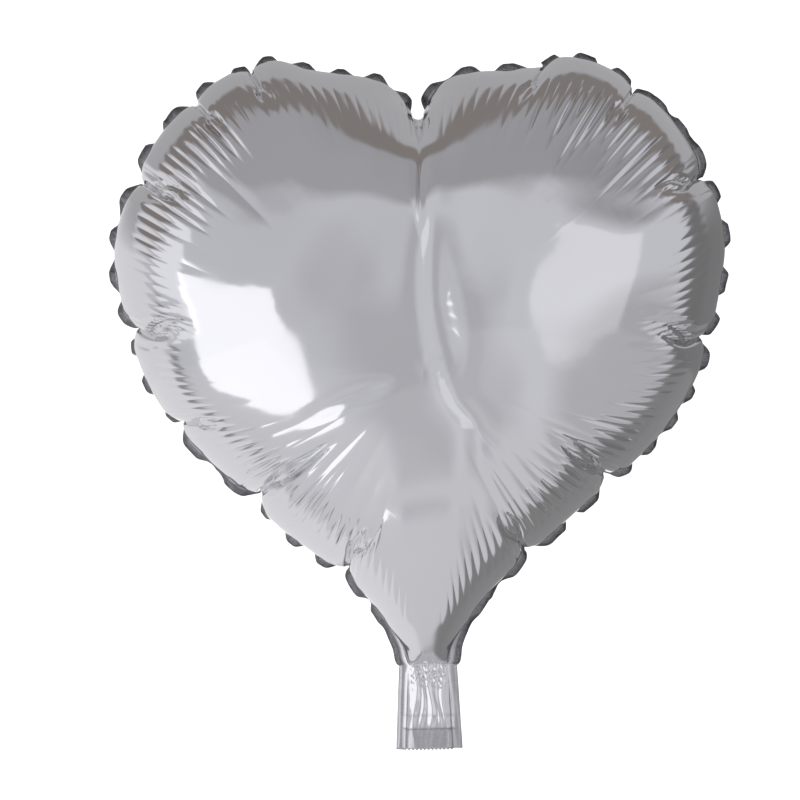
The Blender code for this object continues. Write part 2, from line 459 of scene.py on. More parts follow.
def row_shares():
    """Rows from the seam, 1, towards the centre, 0, close together at the seam."""
    shares, step, distance = [], FIRST_STEP, 0.0
    while distance < TYPICAL_RADIUS - 0.6 * LARGEST_STEP:
        shares.append(1 - distance / TYPICAL_RADIUS)
        distance += step
        step = min(LARGEST_STEP, step * STEP_GROWTH)
    return np.array(shares)


class HalfSkin:
    """One side of the blown heart on the fine grid, with what the pleats need to know about it."""

    def __init__(self, coarse, side):
        shares = ring_shares()
        half = coarse[:SIMULATED_RINGS] if side == FRONT else coarse[: SIMULATED_RINGS - 2 : -1]
        half = half.copy()
        smooth_centre(half, shares)
        self.side = side
        self.shares = row_shares()
        places = np.interp(self.shares, shares, np.arange(SIMULATED_RINGS))
        rows = catmull(half, places, wrap=False)
        count = REFINE * half.shape[1]
        columns = catmull(np.swapaxes(rows, 0, 1), np.arange(count) / REFINE, wrap=True)
        self.points = np.swapaxes(columns, 0, 1).copy()
        self.pole = half[0].mean(0)
        self.measure()

    def measure(self):
        """Normals, the distance from the seam and the distance along each row."""
        p = self.points
        along = np.roll(p, -1, 1) - np.roll(p, 1, 1)
        across = np.gradient(p, axis=0)
        normal = np.cross(along, across) * self.side
        normal /= np.linalg.norm(normal, axis=2, keepdims=True) + 1e-12
        if normal[len(p) // 2, :, 1].mean() * self.side < 0:
            normal = -normal
        # The two sides meet edge to edge, so their normals there lie in the middle plane.
        flat = normal[0].copy()
        flat[:, 1] = 0
        flat /= np.linalg.norm(flat, axis=1, keepdims=True) + 1e-12
        ease = np.exp(-((np.arange(len(p)) / 3.0) ** 2))[:, None, None]
        normal = normal * (1 - ease) + flat[None] * ease
        self.normal = normal / (np.linalg.norm(normal, axis=2, keepdims=True) + 1e-12)
        steps = lengths(p[1:], p[:-1])
        self.depth = np.vstack([np.zeros(p.shape[1]), np.cumsum(steps, 0)])
        hoops = lengths(p, np.roll(p, -1, 1))
        self.around = np.cumsum(hoops, 1) - hoops
        self.girth = hoops.sum(1)


# ---------------- pleats and folds

RIM_ROLL = 0.045  # the part of each crease that runs round the rim, out of sight from the front
CREASE_CENTRE = 0.205  # height of the point that the creases' directions are measured from

# Main creases, pinched across the seam and so on both sides: direction from the heart's
# centre in degrees, where 0 is straight down and 90 is the right side seen from the front.
# Then how far they run inwards past the rim, how deep they are against the setting, and how
# far they lean, the way the degrees rise, for each metre inwards.
CREASES = (
    (23.1, 0.036, 1.00, -0.10),
    (48.1, 0.060, 1.15, 0.15),
    (84.6, 0.050, 1.05, 0.42),
    (115.5, 0.034, 1.00, 0.30),
    (135.7, 0.026, 0.70, 0.00),
    (154.1, 0.026, 0.75, 0.10),
    (180.0, 0.006, 0.60, 0.00),
    (213.7, 0.024, 0.75, -0.10),
    (225.8, 0.026, 0.70, 0.00),
    (243.6, 0.036, 1.00, -0.28),
    (271.6, 0.044, 1.10, -0.35),
    (293.1, 0.026, 0.85, 0.00),
    (316.6, 0.068, 1.25, 0.00),
    (341.9, 0.048, 1.10, 0.26),
)

PINCH_HALF = 0.0135  # half the width of the broad dent at a crease
LINE_HALF, LINE_DEPTH = 0.0021, 0.0040  # the sharp line in its middle
LINE_PARTING = 0.0036  # how far the line's two halves part to each side
SIDE_LINES = (-0.0125, -0.0085, 0.0080, 0.0120)  # thin lines beside it
SIDE_LINE_HALF, SIDE_LINE_DEPTH = 0.0026, 0.0008

# Soft folds and thin packing creases of each side: points as (x, z), depth and width. A
# negative depth makes a ridge.
FRONT_FOLDS = (
    (((0, 0.292), (0.006, 0.255), (0.008, 0.215), (0.015, 0.16)), 0.0034, 0.01),
    (((0.012, 0.2), (0.017, 0.16), (0.03, 0.14), (0.03, 0.106)), 0.0017, 0.0066),
    (((-0.03, 0.092), (0.004, 0.1), (0.042, 0.099)), 0.001, 0.0058),
    (((-0.072, 0.142), (-0.044, 0.158), (-0.014, 0.166)), 0.0014, 0.005),
    (((0, 0.29), (-0.045, 0.289), (-0.095, 0.296), (-0.13, 0.312)), 0.0003, 0.008),
    (((-0.03, 0.282), (-0.07, 0.272), (-0.12, 0.262), (-0.15, 0.268)), 0.0003, 0.009),
    (((0, 0.29), (0.045, 0.287), (0.09, 0.292), (0.128, 0.304)), 0.0005, 0.007),
    (((0.035, 0.28), (0.08, 0.27), (0.125, 0.262), (0.15, 0.27)), 0.0006, 0.008),
    (((-0.082, 0.262), (-0.086, 0.215)), 0.0005, 0.006),
    (((0, 0.29), (-0.02, 0.235), (-0.04, 0.2)), 0.001, 0.012),
    (((0.004, 0.29), (0.03, 0.24), (0.044, 0.19)), 0.0009, 0.013),
    (((0, 0.308), (0, 0.254)), -0.003, 0.01),
    (((0.104, 0.29), (-0.058, 0.16)), -0.00008, 0.0011),
    (((0.11, 0.276), (0.02, 0.204)), -0.00006, 0.0011),
    (((-0.086, 0.262), (-0.086, 0.214)), -0.0001, 0.001),
    (((-0.12, 0.2), (-0.02, 0.318)), -0.00005, 0.0011),
)
BACK_FOLDS = (
    (((0, 0.292), (-0.004, 0.25), (0.004, 0.19), (0, 0.14)), 0.0024, 0.012),
    (((0, 0.29), (0.045, 0.288), (0.095, 0.296), (0.13, 0.31)), 0.0009, 0.0065),
    (((0, 0.29), (-0.045, 0.286), (-0.115, 0.296)), 0.0009, 0.0065),
    (((-0.034, 0.09), (0, 0.098), (0.036, 0.094)), 0.0018, 0.006),
    (((0.12, 0.29), (-0.05, 0.15)), -0.00008, 0.0011),
)

GROOVE_DEPTH = 0.0026  # the blown edge stands proud of the weld all the way round
GROOVE_WIDTH = 0.0042


def smoothstep(values, start, end):
    """0 before start, 1 after end, and a smooth rise between them."""
    t = np.clip((values - start) / (end - start), 0, 1)
    return t * t * (3 - 2 * t)


def valley(across, half, power):
    """1 in the middle of a valley and 0 from half its width outwards."""
    return np.clip(1 - np.abs(across) / half, 0, 1) ** power


def directions(skin):
    """The direction of each column from the heart's centre, rising from 0 to 360 degrees."""
    seam = skin.points[0]
    return np.degrees(np.arctan2(seam[:, 0], CREASE_CENTRE - seam[:, 2])) % 360


def crease_columns(skin):
    """The column nearest to each crease."""
    angle = directions(skin)[:SEAM_POINTS]
    return [int(np.argmin(np.abs(angle - crease[0]))) for crease in CREASES]


def add_creases(skin, height, settings, random):
    """Pinches the rim in at each main crease, with thinner lines on both sides of it."""
    for (_, reach, share, lean), column in zip(CREASES, crease_columns(skin)):
        reach += RIM_ROLL
        across = skin.around - skin.around[:, column : column + 1]
        girth = skin.girth[:, None]
        across = (across + girth / 2) % girth - girth / 2 - lean * np.maximum(skin.depth - RIM_ROLL, 0)
        inwards = np.clip(skin.depth / reach, 0, 1)
        fade = (1 - inwards**1.5) ** 1.2
        height -= share * settings.crease_depth * fade * valley(across, PINCH_HALF * (1 - 0.3 * inwards), 1.6)
        # One sharp line round the rim, which parts in two on the face and closes again.
        opening = np.clip((skin.depth - RIM_ROLL) / (reach - RIM_ROLL), 0, 1)
        parting = LINE_PARTING * np.sin(np.pi * opening**0.8)
        lines = [valley(across - sign * parting, LINE_HALF, 1.1) for sign in (-1, 1)]
        fade = (1 - inwards**4) * smoothstep(skin.depth, 0.002, 0.012)
        height -= LINE_DEPTH * share * fade * np.maximum(*lines)
        for offset in SIDE_LINES:
            start, end = sorted(random.uniform((0.1, 0.7), (0.35, 1.15)))
            along = skin.depth / reach
            window = smoothstep(along, start - 0.15, start + 0.15) * (1 - smoothstep(along, end - 0.35, end))
            place = offset * (1 - 0.35 * inwards) * random.uniform(0.8, 1.2)
            line = valley(across - place, SIDE_LINE_HALF, 1.4)
            height -= random.uniform(0.4, 1.0) * SIDE_LINE_DEPTH * share * window * line


# Where the pleats are strongest: direction, as for the creases, and half the width in degrees.
PLEATED = ((42, 27), (138, 17), (235, 17), (320, 27))
LEAST_PLEATED = 0.30
SWELLS = 17  # times that the pleats get deeper and shallower on the way round
FINE_REACH = (0.0430, 0.0500, 0.080, 0.122)  # as add_pleats takes it
BROAD_REACH = (0.045, 0.070, 0.100, 0.150)


def pleatedness(angle):
    """From LEAST_PLEATED to 1, by direction from the heart's centre."""
    share = np.zeros(len(angle))
    for centre, width in PLEATED:
        off = (angle - centre + 180) % 360 - 180
        share = np.maximum(share, np.exp(-((off / width) ** 4)))
    return LEAST_PLEATED + (1 - LEAST_PLEATED) * share


def add_pleats(skin, height, spacing, depth, reach, random):
    """Pleats side by side round the rim, each with its own depth, start and end.

    The reach gives the first and last distance from the seam at which a pleat starts, then
    where one ends at the least, and where one ends at the most where the pleats are strongest.
    """
    first_start, last_start, first_end, last_end = reach
    row = int(np.searchsorted(skin.depth.mean(1), first_start))
    around, girth = skin.around[row], skin.girth[row]
    crests = [0.0]
    while crests[-1] < girth - 1.5 * spacing:
        crests.append(crests[-1] + spacing * random.uniform(0.8, 1.2))
    crests = np.array(crests) * girth / (crests[-1] + spacing)
    crests = np.r_[crests, girth]
    count = len(crests) - 1
    pleat = np.clip(np.searchsorted(crests, around, side="right") - 1, 0, count - 1)
    phase = (around - crests[pleat]) / (crests[pleat + 1] - crests[pleat])
    swell = 0.5 + 0.5 * np.sin(2 * np.pi * (np.arange(count) / count * SWELLS + random.uniform(0, 1)))
    strength = random.uniform(0.55, 1.0, count) * (0.6 + 0.4 * swell)
    middles = np.interp((crests[1:] + crests[:-1]) / 2, around, np.unwrap(directions(skin), period=360))
    local = pleatedness(middles % 360)
    start = random.uniform(first_start, last_start, count)[pleat]
    end = (first_end + (last_end - first_end) * random.uniform(0, 1, count) * local)[pleat]
    window = smoothstep(skin.depth, start - 0.003, start + 0.007)
    window = window * (1 - smoothstep(skin.depth, start + 0.45 * (end - start), end))
    height -= depth * (strength * local)[pleat] * window * (1 - np.abs(np.cos(np.pi * phase)) ** 0.8)


def distance_to_line(x, z, points):
    """The distance to a line through points, and the share of the line's length to there."""
    points = np.array(points)
    best = np.full(x.shape, np.inf)
    share = np.zeros(x.shape)
    steps = np.linalg.norm(np.diff(points, axis=0), axis=1)
    walked = np.r_[0, np.cumsum(steps)]
    for index, step in enumerate(steps):
        a, b = points[index], points[index + 1]
        t = np.clip(((x - a[0]) * (b[0] - a[0]) + (z - a[1]) * (b[1] - a[1])) / step**2, 0, 1)
        gap = np.hypot(x - a[0] - t * (b[0] - a[0]), z - a[1] - t * (b[1] - a[1]))
        nearer = gap < best
        best[nearer] = gap[nearer]
        share[nearer] = (walked[index] + t * step)[nearer] / walked[-1]
    return best, share


def smooth_line(points):
    """A smooth curve through a fold's points, with 12 steps from each to the next."""
    points = np.array(points)
    if len(points) < 3:
        return points
    stretches = len(points) - 1
    return catmull(points, np.linspace(0, stretches, 12 * stretches + 1), wrap=False)


def add_folds(skin, folds, height):
    """Soft valleys along lines, deepest in their middle."""
    x, z = skin.points[..., 0], skin.points[..., 2]
    for points, depth, width in folds:
        gap, share = distance_to_line(x, z, smooth_line(points))
        fade = smoothstep(share, -0.02, 0.22) * (1 - smoothstep(share, 0.7, 1.02))
        height -= depth * fade * np.exp(-((gap / width) ** 2))


WAVES = 14
WAVE_SLOPE = 0.00035 / 0.09  # height of a wave against its length


def add_waves(skin, height, random):
    """Broad, shallow unevenness over the whole side."""
    x, z = skin.points[..., 0], skin.points[..., 2]
    for _ in range(WAVES):
        turn, wave = random.uniform(0, 2 * np.pi, 2)
        length = random.uniform(0.045, 0.14)
        along = x * np.cos(turn) + z * np.sin(turn)
        height += WAVE_SLOPE * length * np.sin(2 * np.pi * along / length + wave)


def dress(skin, settings, random):
    """Gives one side its creases, pleats, folds and the groove along the weld."""
    height = np.zeros(skin.points.shape[:2])
    add_creases(skin, height, settings, random)
    spacing, depth = settings.pleat_spacing, settings.pleat_depth
    add_pleats(skin, height, spacing, depth, FINE_REACH, random)
    add_pleats(skin, height, 2.7 * spacing, 0.38 * depth, BROAD_REACH, random)
    add_folds(skin, FRONT_FOLDS if skin.side == FRONT else BACK_FOLDS, height)
    add_waves(skin, height, random)
    height -= GROOVE_DEPTH * np.exp(-((skin.depth / GROOVE_WIDTH) ** 1.5))
    # Nothing is displaced at the neck itself, where the tail takes over.
    x, z = skin.points[..., 0], skin.points[..., 2]
    from_neck = np.hypot(np.maximum(np.abs(x) - 0.010, 0), z - NECK_TOP)
    height *= smoothstep(from_neck, 0.001, 0.022)
    return height


# ---------------- tail

NECK_HALF = 0.012
MOUTH_HALF = float(TAIL_HIGH[0]) - 0.005
MOUTH_HALF_DEPTH = float(-TAIL_LOW[1])
NECK_HALF_DEPTH = 0.0010  # enough room for the valve's plies
PUFF_LENGTH = 0.022
TAIL_MARGIN = 0.005
WELD_HALF = 0.00017  # half the thickness of two films welded together
TAIL_ROWS = 46
INNER_WALL = 0.00009
# Heights of the two weld lines across the tail, and of the knurled band below them.
WELD_LINES = (-0.0290, -0.0372)
WELD_LINE_HALF, WELD_LINE_RISE = 0.0006, 0.00025
TAIL_PHASE = 0.7  # shifts the waves of the tail's folds
# Upright folds of the tail: x as a share of the half width, depth and half width in metres.
TAIL_FOLDS = (
    (-0.62, 0.0010, 0.0026),
    (-0.30, 0.0007, 0.0020),
    (0.05, 0.0012, 0.0030),
    (0.38, 0.0006, 0.0018),
    (0.70, 0.0010, 0.0024),
)


def tail_widths(z):
    """Half the open width of the tail at that height."""
    share = np.clip((NECK_TOP - z) / (NECK_TOP - MOUTH_BOTTOM), 0, 1)
    return NECK_HALF + (MOUTH_HALF - NECK_HALF) * share


def tail_depth(share, z, side):
    """How far the tail's film stands from the middle plane, never less than the plain film."""
    drop = smoothstep(NECK_TOP - z, 0, PUFF_LENGTH)
    full = NECK_HALF_DEPTH + (MOUTH_HALF_DEPTH - NECK_HALF_DEPTH) * drop
    plain = WELD_HALF + (full - WELD_HALF) * (1 - np.abs(share) ** 8)
    folds = np.zeros_like(plain)
    for number, (place, depth, width) in enumerate(TAIL_FOLDS):
        wander = 0.10 * np.sin(z * 160 + number + TAIL_PHASE) * side
        gap = (share + place * side - wander) * tail_widths(z)
        folds = folds + depth * valley(gap, width, 1.2)
    crumple = np.abs(np.sin(z * 900 + 7 * share + TAIL_PHASE) * np.sin(z * 520 - 11 * share))
    near_neck = np.exp(-(((z + 0.006) / 0.006) ** 2))
    flat_end = smoothstep(z, WELD_LINES[1] - 0.002, WELD_LINES[0])
    folds = folds * (0.35 + 0.65 * flat_end) + 0.0011 * crumple * near_neck
    return plain + (1 - np.abs(share) ** 6) * (folds + WELD_LINE_RISE * weld_lines(z))


def weld_lines(z):
    """1 on a weld line across the tail, and 0 a little above or below it."""
    return sum(math.exp(-(((z - line) / WELD_LINE_HALF) ** 2)) for line in WELD_LINES)


# ---------------- building the skin mesh


class MeshParts:
    """Vertices, faces and per-vertex values, collected before they become a mesh."""

    def __init__(self):
        self.points, self.faces, self.weld, self.seam = [], [], [], []

    def add(self, points, weld=0.0, seam=None):
        """Adds a run of vertices and returns their numbers."""
        points = np.asarray(points, float).reshape(-1, 3)
        first = sum(len(block) for block in self.points)
        self.points.append(points)
        self.weld.append(np.broadcast_to(weld, len(points)).astype(float))
        self.seam.append(np.zeros((len(points), 2)) if seam is None else np.asarray(seam, float))
        return np.arange(first, first + len(points))

    def strip(self, upper, lower, closed):
        """Quads between two runs of the same length."""
        if closed:
            upper, lower = np.r_[upper, upper[:1]], np.r_[lower, lower[:1]]
        self.faces += np.stack([upper[:-1], lower[:-1], lower[1:], upper[1:]], 1).tolist()

    def halve(self, outer, inner):
        """Joins a closed ring to one with half as many vertices."""
        count = len(inner)
        for k in range(count):
            after = (k + 1) % count
            a, b, c = outer[2 * k], outer[2 * k + 1], outer[(2 * k + 2) % len(outer)]
            self.faces.append([a, inner[k], b])
            self.faces.append([b, inner[k], inner[after], c])

    def to_object(self, name):
        """Makes the object, with its weld and seam values as an attribute and a UV map."""
        mesh = bpy.data.meshes.new(name)
        mesh.from_pydata(np.concatenate(self.points).tolist(), [], self.faces)
        mesh.update()
        turned = bmesh.new()
        turned.from_mesh(mesh)
        bmesh.ops.recalc_face_normals(turned, faces=turned.faces)
        turned.to_mesh(mesh)
        turned.free()
        weld = mesh.attributes.new("weld", "FLOAT", "POINT")
        weld.data.foreach_set("value", np.concatenate(self.weld).astype(np.float32))
        corners = np.empty(len(mesh.loops), np.int32)
        mesh.loops.foreach_get("vertex_index", corners)
        seam = mesh.uv_layers.new(name="seam")
        seam.data.foreach_set("uv", np.concatenate(self.seam)[corners].astype(np.float32).ravel())
        mesh.shade_smooth()
        made = bpy.data.objects.new(name, mesh)
        bpy.context.scene.collection.objects.link(made)
        return made


def add_side(parts, skin):
    """Adds one side of the heart, from the seam to the pole. Returns its seam row."""
    rows = []
    stride = 1
    for number, points in enumerate(skin.points):
        wanted = 1
        while wanted < 32 and skin.shares[number] < 0.55 / wanted:
            wanted *= 2
        thinner = wanted > stride
        stride = min(wanted, 2 * stride)
        seam = np.stack([skin.around[number], -skin.depth[number]], 1)[::stride]
        run = parts.add(points[::stride], 0.0, seam)
        if rows and thinner:
            parts.halve(rows[-1], run)
        elif rows:
            parts.strip(rows[-1], run, closed=True)
        rows.append(run)
    pole = parts.add(skin.pole)[0]
    last = rows[-1]
    parts.faces += [[int(a), int(b), int(pole)] for a, b in zip(last, np.roll(last, -1))]
    return rows[0]


def margin_directions(seam):
    """Away from the heart in the middle plane, at each seam column."""
    ahead = np.vstack([seam[1:], seam[-1:]])
    behind = np.vstack([seam[:1], seam[:-1]])
    along = ahead - behind
    away = np.stack([along[:, 2], np.zeros(len(seam)), -along[:, 0]], 1)
    for _ in range(10):
        away[1:-1] = (away[:-2] + 2 * away[1:-1] + away[2:]) / 4
    away /= np.linalg.norm(away, axis=1, keepdims=True)
    ends = from_ends(0, 24)[:, None]
    sideways = np.zeros_like(away)
    sideways[:, 0] = np.where(np.arange(len(seam)) < len(seam) / 2, 1, -1)
    away = away * ends + sideways * (1 - ends)
    return away / np.linalg.norm(away, axis=1, keepdims=True)


RELIEF_REACH = 0.012  # how far in from the seam the relief of both sides is evened out
LIFT, LIFT_REACH = 0.0016, 0.006  # how far the seam wanders, and how far in it takes the film along
LIFT_KNOTS = 28  # seam columns from one change of the wandering to the next
NECK_REACH = 0.009  # how far above the neck its opening fades out
# Ruffles of the margin: their lengths, then in degrees the turn of a flat stretch and how much
# further a ruffle turns. A small uneven turn is added at every few columns.
RUFFLE_LENGTHS = (0.018, 0.030)
LEAST_TURNS, TURNS = (2, 30), (45, 72)
UNEVEN_TURN, UNEVEN_KNOTS = math.radians(11), 12


def from_ends(start, end):
    """0 at both ends of the seam and 1 further in, by finished columns from the nearer end."""
    column = np.arange(SEAM_POINTS)
    return smoothstep(np.minimum(column, column[::-1]), start, end)


def margin_wave(skin, random):
    """How the welded margin flutters: its angle out of the middle plane, in radians."""
    around = skin.around[0][:SEAM_POINTS]
    marks = np.r_[0, sorted(crease_columns(skin)), SEAM_POINTS - 1]
    angle = np.zeros(SEAM_POINTS)
    for first, last in zip(marks[:-1], marks[1:]):
        run = slice(first, last + 1)
        length = around[last] - around[first]
        share = (around[run] - around[first]) / (length + 1e-9)
        waves = max(1, round(length / random.uniform(*RUFFLE_LENGTHS)))
        share = share + random.uniform(-0.10, 0.10) * np.sin(2 * np.pi * share) / waves
        flat = random.uniform(0.25, 0.60)
        hidden = np.clip((np.abs(np.cos(np.pi * waves * share)) - flat) / (1 - flat), 0, 1) ** 1.1
        angle[run] = np.radians(random.uniform(*LEAST_TURNS)) + np.radians(random.uniform(*TURNS)) * hidden
    knots = np.arange(0, SEAM_POINTS + UNEVEN_KNOTS, UNEVEN_KNOTS)
    angle += UNEVEN_TURN * np.interp(np.arange(SEAM_POINTS), knots, random.normal(0, 1, len(knots)))
    return angle * from_ends(4, 60)


def seam_lift(random):
    """How the seam wanders out of the middle plane."""
    knots = np.arange(0, SEAM_POINTS + LIFT_KNOTS, LIFT_KNOTS)
    turns = np.cumsum(random.uniform(0.5, 1.6, len(knots)))
    return LIFT * np.sin(np.interp(np.arange(SEAM_POINTS), knots, turns)) * from_ends(10, 80)


def build_skin(settings):
    """The whole foil skin: heart, welded margin and open tail, as one closed mesh."""
    random = np.random.default_rng(settings.random_seed)
    coarse = BlownFilm(settings.pattern_width).blow_up(FULL_STEPS)
    seat(coarse)
    skins = HalfSkin(coarse, FRONT), HalfSkin(coarse, BACK)
    heights = []
    for number, skin in enumerate(skins):
        heights.append(dress(skin, settings, np.random.default_rng(settings.random_seed + number)))
    # Both sides share the seam, so close to it they take the same relief.
    meet = (heights[0][0] + heights[1][0]) / 2
    for skin, height in zip(skins, heights):
        near = np.exp(-skin.depth / RELIEF_REACH)
        skin.points += skin.normal * (height + (meet - height[0]) * near)[..., None]
    wave = margin_wave(skins[0], random)
    lift = seam_lift(random)
    seam = (skins[0].points[0] + skins[1].points[0]) / 2
    seam[:SEAM_POINTS, 1] += lift
    for skin in skins:
        skin.points[0] = seam
        skin.points[1:, :SEAM_POINTS, 1] += lift * np.exp(-skin.depth[1:, :SEAM_POINTS] / LIFT_REACH)
        skin.points[0, :, 1] += skin.side * WELD_HALF
        x, _, z = np.moveaxis(skin.points, -1, 0)
        open_neck = NECK_HALF_DEPTH * (1 - np.clip(np.abs(x / NECK_HALF), 0, 1) ** 8)
        skin.points[..., 1] += skin.side * open_neck * np.exp(-(((z - NECK_TOP) / NECK_REACH) ** 2))

    parts = MeshParts()
    seam_runs = {skin.side: add_side(parts, skin) for skin in skins}
    around = skins[0].around[0][:SEAM_POINTS]
    outer_runs = add_margin(parts, seam[:SEAM_POINTS], around, wave, settings.seam_width, seam_runs)
    add_tail(parts, seam_runs, outer_runs)
    return parts.to_object("foil_skin")


def add_margin(parts, seam, around, wave, width, seam_runs):
    """Adds the welded margin. Returns its middle and outer runs on each side."""
    away = margin_directions(seam)
    flat, upright = np.cos(wave), np.sin(wave)
    outer = seam + width * (away * flat[:, None] + np.array((0, 1, 0)) * upright[:, None])
    runs = {}
    for side in (FRONT, BACK):
        half = side * WELD_HALF * np.stack([-away[:, 0] * upright, flat, -away[:, 2] * upright], 1)
        row = [seam_runs[side][:SEAM_POINTS]]
        for points, distance in (((seam + outer) / 2, 0.5 * width), (outer, width)):
            uv = np.stack([around, np.full(SEAM_POINTS, distance)], 1)
            row.append(parts.add(points + half, 1.0, uv))
            parts.strip(row[-2], row[-1], closed=False)
        runs[side] = row[1:]
    parts.strip(runs[FRONT][1], runs[BACK][1], closed=False)
    return runs


def seat(points):
    """Moves the blown heart so that its neck stands at the frame's neck, and fits it to the frame's width."""
    seam = points[SIMULATED_RINGS - 1]
    neck = np.vstack([seam[SEAM_COLUMNS:], seam[:1]])
    points[..., 0] -= neck[:, 0].mean()
    points[..., 2] -= neck[:, 2].mean()
    points[..., 0] *= SEAM_HALF_WIDTH / abs(seam[:, 0]).max()
    points[..., 2] *= SEAM_HEIGHT / seam[:, 2].max()
    points[..., 2] += NECK_TOP
    # Draws the neck in to the frame's width, fading out up the flanks.
    ease = np.exp(-(((points[..., 2] - NECK_TOP) / 0.018) ** 2))
    narrow = NECK_HALF / abs(neck[:, 0]).max()
    points[..., 0] *= 1 + (narrow - 1) * ease
    row = points[SIMULATED_RINGS - 1]
    row[SEAM_COLUMNS:, 2] = NECK_TOP
    row[0, 2] = NECK_TOP
    row[SEAM_COLUMNS:, 1] = 0
    row[0, 1] = 0


def add_tail(parts, seam_runs, outer_runs):
    """Carries the neck's loop down to the mouth, turns in at the lip and lines the inside."""
    neck = {}
    for side, run in seam_runs.items():
        neck[side] = np.r_[run[SEAM_POINTS - 1 :], run[:1]]
    count = len(neck[FRONT])
    share = np.linspace(-1, 1, count)

    def fins(corner):
        front, back = ([run[corner] for run in outer_runs[side]] for side in (FRONT, BACK))
        return front + back[::-1]

    loop = np.r_[neck[FRONT], fins(0), neck[BACK][::-1], fins(-1)[::-1]]
    heights = NECK_TOP - (NECK_TOP - MOUTH_BOTTOM) * np.linspace(0, 1, TAIL_ROWS + 1)
    for z in heights[1:]:
        ragged = 0.0006 * np.sin(40 * share) * (z == heights[-1])
        run = parts.add(*tail_loop(share, z, ragged))
        parts.strip(loop, run, closed=True)
        loop = run
    inner = None
    for z in heights[:0:-1]:
        lower = z + (z == heights[-1]) * 0.0002
        rows = []
        for side in (FRONT, BACK):
            depth = np.maximum(tail_depth(share, lower, side) - INNER_WALL, 0.00005)
            x = share * (tail_widths(lower) - 0.0001)
            rows.append(np.stack([x, side * depth, np.full(count, lower)], 1))
        run = parts.add(np.vstack([rows[0], rows[1][::-1]]))
        if inner is None:
            close_lip(parts, loop, run, count)
        else:
            parts.strip(inner, run, closed=True)
        inner = run
    parts.strip(inner[:count], inner[count:][::-1], closed=False)


def tail_loop(share, z, ragged):
    """One level of the tail: front film, right margin, back film, left margin."""
    half = tail_widths(z)
    films = []
    for side in (FRONT, BACK):
        films.append(np.stack([share * half, side * tail_depth(share, z, side), z + ragged], 1))
    sag = 0.0007 * math.sin(z * 210)
    fins = ((0.5, FRONT), (1, FRONT), (1, BACK), (0.5, BACK))
    right = [(half + part * TAIL_MARGIN, side * WELD_HALF + sag * part, z) for part, side in fins]
    left = [(-half - part * TAIL_MARGIN, side * WELD_HALF - 0.4 * sag * part, z) for part, side in fins[::-1]]
    points = np.vstack([films[0], right, films[1][::-1], left])
    band = float(smoothstep(-z, -WELD_LINES[1] - 0.001, -WELD_LINES[1]))
    film_weld = np.full(len(share), min(1.0, 0.35 * band + 0.4 * weld_lines(z)))
    fin_weld = np.full(4, 0.45)
    return points, np.r_[film_weld, fin_weld, film_weld, fin_weld], points[:, (0, 2)]


def close_lip(parts, outer, inner, count):
    """The cut edge of the film at the mouth."""
    front, back = outer[:count], outer[count + 4 : 2 * count + 4]
    parts.strip(front, inner[:count], closed=False)
    parts.strip(back, inner[count:], closed=False)
    right = [outer[count - 1], *outer[count : count + 4], outer[count + 4], inner[count], inner[count - 1]]
    left = [outer[2 * count + 3], *outer[2 * count + 4 :], outer[0], inner[0], inner[-1]]
    parts.faces += [[int(v) for v in right], [int(v) for v in left]]


# ---------------- operators


class BALLOON_OT_skin(bpy.types.Operator):
    """Blow up the foil heart with its seam and tail"""

    bl_idname = "balloon.skin"
    bl_label = "Foil skin"

    def execute(self, context):
        settings = context.scene.balloon
        skin = build_skin(settings)
        skin.data.materials.append(foil_material(settings))
        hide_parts("body_front_panel", "body_back_panel", "tail_front_film", "tail_back_film")
        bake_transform(skin)
        return {"FINISHED"}


class BALLOON_OT_valve(bpy.types.Operator):
    """Give the valve's plies and their print a finish"""

    bl_idname = "balloon.valve"
    bl_label = "Valve"

    def execute(self, context):
        film = valve_film_material()
        ink = ink_material(context.scene.balloon)
        finishes = {
            "valve_inlet_front": film,
            "valve_inlet_back": film,
            "valve_flap_front": film,
            "valve_flap_back": film,
            "valve_release_coat": ink,
        }
        for node, finish in finishes.items():
            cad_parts[node].material_slots[0].material = finish
        return {"FINISHED"}


STAGE_CENTRE = (0.0, 0.0, 0.155)
FLOOR = -0.60
FLOOR_FRONT = -3.0
FLOOR_HALF_WIDTH = 2.2
FLOOR_GREY = 0.14
WALL_DISTANCE = 4.0
WALL_HALF_WIDTH = 0.80
WALL_TOP = 1.0
WALL_BEND = 0.3
CAMERA_DISTANCE = 1.96
CAMERA_ROLL = math.radians(1.0)
CAMERA_AIM = (-0.0138, 0.1562)  # x and z of the point that the camera looks at

# Lamps: name, place, width and height, and how bright they are when seen in a mirror.
LAMPS = (
    ("key_softbox", (-0.89, -0.80, -0.17), (0.92, 1.06), 1.9),
    ("left_panel", (-1.50, -0.35, 0.45), (0.70, 0.80), 0.95),
    ("right_panel", (1.30, -1.45, 0.30), (0.9, 1.4), 0.61),
)

